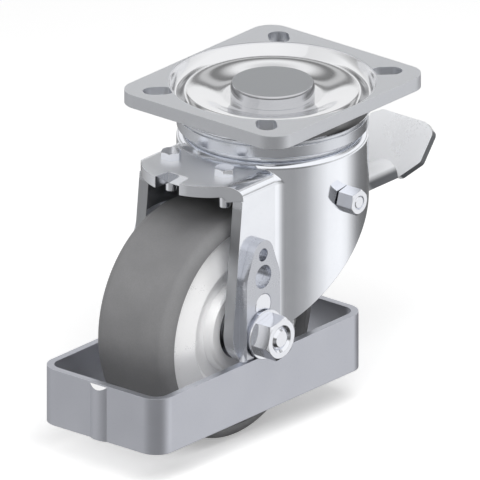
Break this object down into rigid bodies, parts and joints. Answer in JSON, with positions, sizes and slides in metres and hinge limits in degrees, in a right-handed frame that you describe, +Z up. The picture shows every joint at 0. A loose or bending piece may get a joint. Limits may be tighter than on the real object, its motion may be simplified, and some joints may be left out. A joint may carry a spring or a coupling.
{
  "type": "swivel castor with foot guard and brake",
  "caption": "Top plate swivel castor with a pressed steel fork, ball bearing wheel, rear brake pedal and a rectangular foot guard band round the wheel.",
  "frame": {"origin": "on the swivel axis, in the plane of the top plate's mounting face", "axes": "+Z up out of the mounting face along the swivel axis; +X towards the brake pedal, so the wheel trails on the -X side; +Y along the wheel axle, towards the bolt head"},
  "size_m": [0.2068, 0.0946, 0.1437],
  "materials": {
    "plate_zinc": "satin",
    "bright_zinc": "polished",
    "guard_zinc": "satin",
    "lug_zinc": "satin",
    "pedal_zinc": "satin",
    "fastener_zinc": "polished",
    "bearing_steel": "polished",
    "dark_steel": "satin",
    "tyre_grey": "satin",
    "wheel_metal": "satin",
    "seal_black": "matte",
    "bush_bronze": "satin",
    "shoe_lining": "matte"
  },
  "bodies": {
    "plate": {"top_plate": "plate_zinc", "king_pin": "fastener_zinc", "king_pin_nut": "fastener_zinc", "lower_race": "bearing_steel", "swivel_seal": "seal_black", "upper_balls": "bearing_steel", "lower_balls": "bearing_steel"},
    "fork": {"fork": "bright_zinc", "race_ring": "bright_zinc", "dust_seal": "seal_black", "guard_band": "guard_zinc", "guard_lug_near": "lug_zinc", "guard_lug_far": "lug_zinc", "guard_pins": "fastener_zinc", "axle_bolt": "fastener_zinc", "axle_nut": "fastener_zinc", "axle_washers": "fastener_zinc", "axle_sleeve": "bearing_steel", "hub_spacers": "bearing_steel", "distance_tube": "bearing_steel", "bearing_inner_rings": "bearing_steel", "brake_pivot_bolt": "fastener_zinc", "brake_pivot_nut": "fastener_zinc", "pivot_spacers": "bearing_steel", "holding_spring": "dark_steel", "spring_screws": "fastener_zinc"},
    "wheel": {"tyre": "tyre_grey", "wheel_centre": "wheel_metal", "bearing_outer_rings": "bearing_steel", "bearing_balls": "bearing_steel", "bearing_seals": "seal_black"},
    "pedal": {"pedal_lever": "pedal_zinc", "pedal_bushes": "bush_bronze", "brake_shoe": "shoe_lining"}
  },
  "joints": [
    {"name": "swivel", "type": "hinge", "parent": "plate", "child": "fork", "pos_m": [0, 0, 0], "axis": [0, 0, 1], "continuous": true},
    {"name": "wheel_spin", "type": "hinge", "parent": "fork", "child": "wheel", "pos_m": [-0.045, 0, -0.0937], "axis": [0, 1, 0], "continuous": true},
    {"name": "brake_pedal", "type": "hinge", "parent": "fork", "child": "pedal", "pos_m": [-0.0014, 0, -0.0428], "axis": [0, 1, 0], "range_deg": [0, 12]}
  ]
}
